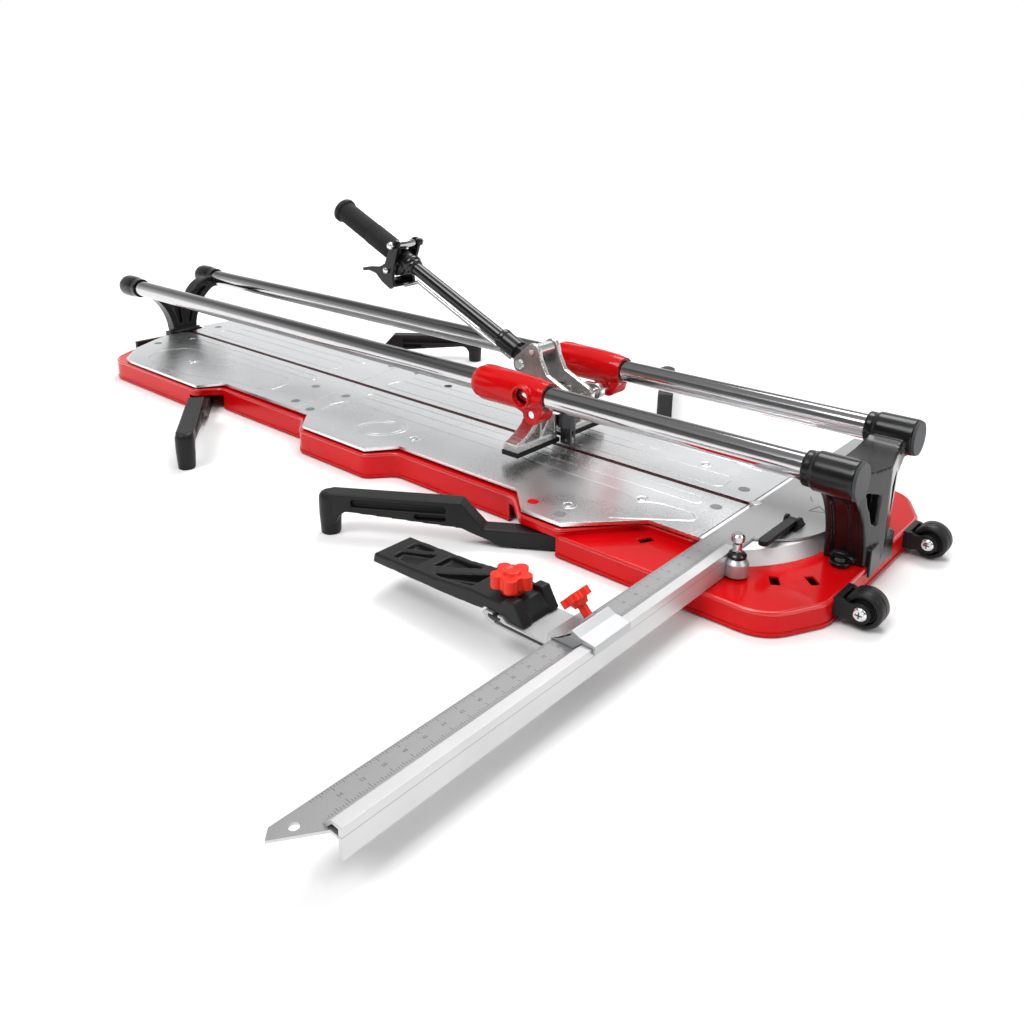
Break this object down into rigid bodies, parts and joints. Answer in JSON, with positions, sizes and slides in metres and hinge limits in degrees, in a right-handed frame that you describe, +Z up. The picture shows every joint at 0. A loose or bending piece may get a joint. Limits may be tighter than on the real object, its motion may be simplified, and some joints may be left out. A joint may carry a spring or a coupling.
{
  "type": "tile cutter",
  "caption": "Manual rail tile cutter with pressed base, twin guide rails, sliding lever head with scoring wheel and breaker, rotating square with stop, swing-out supports and wheels.",
  "frame": {"origin": "on the floor under the score line, at the middle of the base, on the underside of the middle rubber pad", "axes": "+X along the rails towards the transport wheels, +Y to the far side, away from the stop, +Z up"},
  "size_m": [1.5705, 1.1213, 0.3567],
  "materials": {
    "red_paint": "gloss",
    "red_plastic": "gloss",
    "knob_plastic": "satin",
    "black_casting": "satin",
    "black_plastic": "textured",
    "black_paint": "gloss",
    "zinc_sheet": "brushed",
    "chrome": "polished",
    "steel": "satin",
    "dark_steel": "satin",
    "cast_alloy": "cast",
    "anodised": "matte anodised",
    "rubber": "matte",
    "grip_rubber": "soft matte",
    "tyre": "matte",
    "bearing_plastic": "matte"
  },
  "bodies": {
    "base": {"base_tray": "red_paint", "base_ribs": "red_paint", "base_pads": "rubber", "snap_bar": "red_paint", "bed_strips": "rubber", "plate_left_near": "zinc_sheet", "plate_left_far": "zinc_sheet", "plate_right_near": "zinc_sheet", "plate_right_far": "zinc_sheet", "plate_plugs": "steel", "plate_screws": "steel", "rail_near": "chrome", "rail_far": "chrome", "rear_support": "black_casting", "front_support": "black_casting", "rail_end_caps": "black_plastic", "support_bolts": "dark_steel", "carry_handle": "black_plastic", "turntable_bed": "anodised", "wheel_bracket_near": "black_plastic", "wheel_bracket_far": "black_plastic", "wheel_axles": "steel", "arm_pins": "steel", "square_bolt": "steel"},
    "carriage": {"shell_near": "red_plastic", "shell_far": "red_plastic", "rail_bushes": "bearing_plastic", "cross_shaft": "steel"},
    "head": {"hinge_block": "cast_alloy", "breaker_frame": "cast_alloy", "breaker_pad": "rubber", "frame_bolts": "dark_steel", "frame_spacer": "chrome", "wheel_holder": "dark_steel", "wheel_axle": "steel", "handle_bolt": "steel"},
    "score_wheel": {"scoring_wheel": "dark_steel"},
    "handle": {"handle_knuckle": "black_paint", "handle_tube": "black_paint", "grip": "grip_rubber", "grip_cap": "grip_rubber", "lever_clamp": "black_paint", "lever_pin": "steel"},
    "lever": {"release_lever": "black_paint"},
    "rod": {"release_rod": "chrome"},
    "square": {"square_ruler": "anodised", "plunger_boss": "cast_alloy", "cam_bracket": "black_paint"},
    "plunger": {"plunger_pin": "chrome"},
    "cam": {"cam_lever": "black_paint"},
    "stop": {"stop_saddle": "anodised"},
    "clamp_knob": {"saddle_knob": "knob_plastic"},
    "stop_bar": {"stop_arm": "black_plastic"},
    "bar_knob": {"arm_knob": "knob_plastic"},
    "support_near_left": {"arm_near_left": "black_plastic"},
    "support_near_right": {"arm_near_right": "black_plastic"},
    "support_far_left": {"arm_far_left": "black_plastic"},
    "support_far_right": {"arm_far_right": "black_plastic"},
    "roller_near": {"wheel_near": "tyre"},
    "roller_far": {"wheel_far": "tyre"}
  },
  "joints": [
    {"name": "carriage_travel", "type": "slide", "parent": "base", "child": "carriage", "axis": [1, 0, 0], "range_m": [-0.9, 0.27]},
    {"name": "head_tilt", "type": "hinge", "parent": "carriage", "child": "head", "pos_m": [0.318, 0, 0.12], "axis": [0, 1, 0], "range_deg": [-12, 25]},
    {"name": "score_wheel_spin", "type": "hinge", "parent": "head", "child": "score_wheel", "pos_m": [0.305, 0, 0.057], "axis": [0, 1, 0], "continuous": true},
    {"name": "handle_angle", "type": "hinge", "parent": "head", "child": "handle", "pos_m": [0.235, 0, 0.157], "axis": [0, 1, 0], "range_deg": [-8, 35]},
    {"name": "release_squeeze", "type": "hinge", "parent": "handle", "child": "lever", "pos_m": [-0.0407, 0, 0.25567], "axis": [0, 1, 0], "range_deg": [0, 14], "stiffness_Nm_per_rad": 3, "springref_deg": -5.73},
    {"name": "release_rod_pull", "type": "slide", "parent": "handle", "child": "rod", "axis": [-0.9135, 0, 0.4067], "range_m": [0, 0.008]},
    {"name": "square_angle", "type": "hinge", "parent": "base", "child": "square", "pos_m": [0.59, 0, 0.045], "axis": [0, 0, 1], "range_deg": [-10, 30]},
    {"name": "plunger_press", "type": "slide", "parent": "square", "child": "plunger", "axis": [0, 0, -1], "range_m": [-0.005, 0.0045], "stiffness_N_per_m": 900},
    {"name": "cam_lift", "type": "hinge", "parent": "square", "child": "cam", "pos_m": [0.65, -0.03, 0.054], "axis": [-1, 0, 0], "range_deg": [0, 80]},
    {"name": "stop_travel", "type": "slide", "parent": "square", "child": "stop", "axis": [0, 1, 0], "range_m": [-0.24, 0.06]},
    {"name": "clamp_knob_turn", "type": "hinge", "parent": "stop", "child": "clamp_knob", "pos_m": [0.604, -0.352, 0.0583], "axis": [-0.7193, 0, 0.6947], "continuous": true},
    {"name": "stop_bar_travel", "type": "slide", "parent": "stop", "child": "stop_bar", "axis": [0, 1, 0], "range_m": [-0.012, 0.012]},
    {"name": "bar_knob_turn", "type": "hinge", "parent": "stop_bar", "child": "bar_knob", "pos_m": [0.521, -0.364, 0.07], "axis": [0, 0, 1], "continuous": true},
    {"name": "support_near_left_swing", "type": "hinge", "parent": "base", "child": "support_near_left", "pos_m": [-0.345, -0.18, 0.02], "axis": [0, 0, 1], "range_deg": [-54, 28]},
    {"name": "support_near_right_swing", "type": "hinge", "parent": "base", "child": "support_near_right", "pos_m": [0.425, -0.18, 0.02], "axis": [0, 0, 1], "range_deg": [-32, 22]},
    {"name": "support_far_left_swing", "type": "hinge", "parent": "base", "child": "support_far_left", "pos_m": [-0.425, 0.18, 0.02], "axis": [0, 0, 1], "range_deg": [-36, 51]},
    {"name": "support_far_right_swing", "type": "hinge", "parent": "base", "child": "support_far_right", "pos_m": [0.345, 0.18, 0.02], "axis": [0, 0, 1], "range_deg": [-30, 52]},
    {"name": "roller_near_spin", "type": "hinge", "parent": "base", "child": "roller_near", "pos_m": [0.764, -0.1, 0.021], "axis": [0, 1, 0], "continuous": true},
    {"name": "roller_far_spin", "type": "hinge", "parent": "base", "child": "roller_far", "pos_m": [0.764, 0.1, 0.021], "axis": [0, 1, 0], "continuous": true}
  ],
  "couplings": [
    {"joint": "release_rod_pull", "follows": "release_squeeze", "m_per_rad": 0.028}
  ]
}
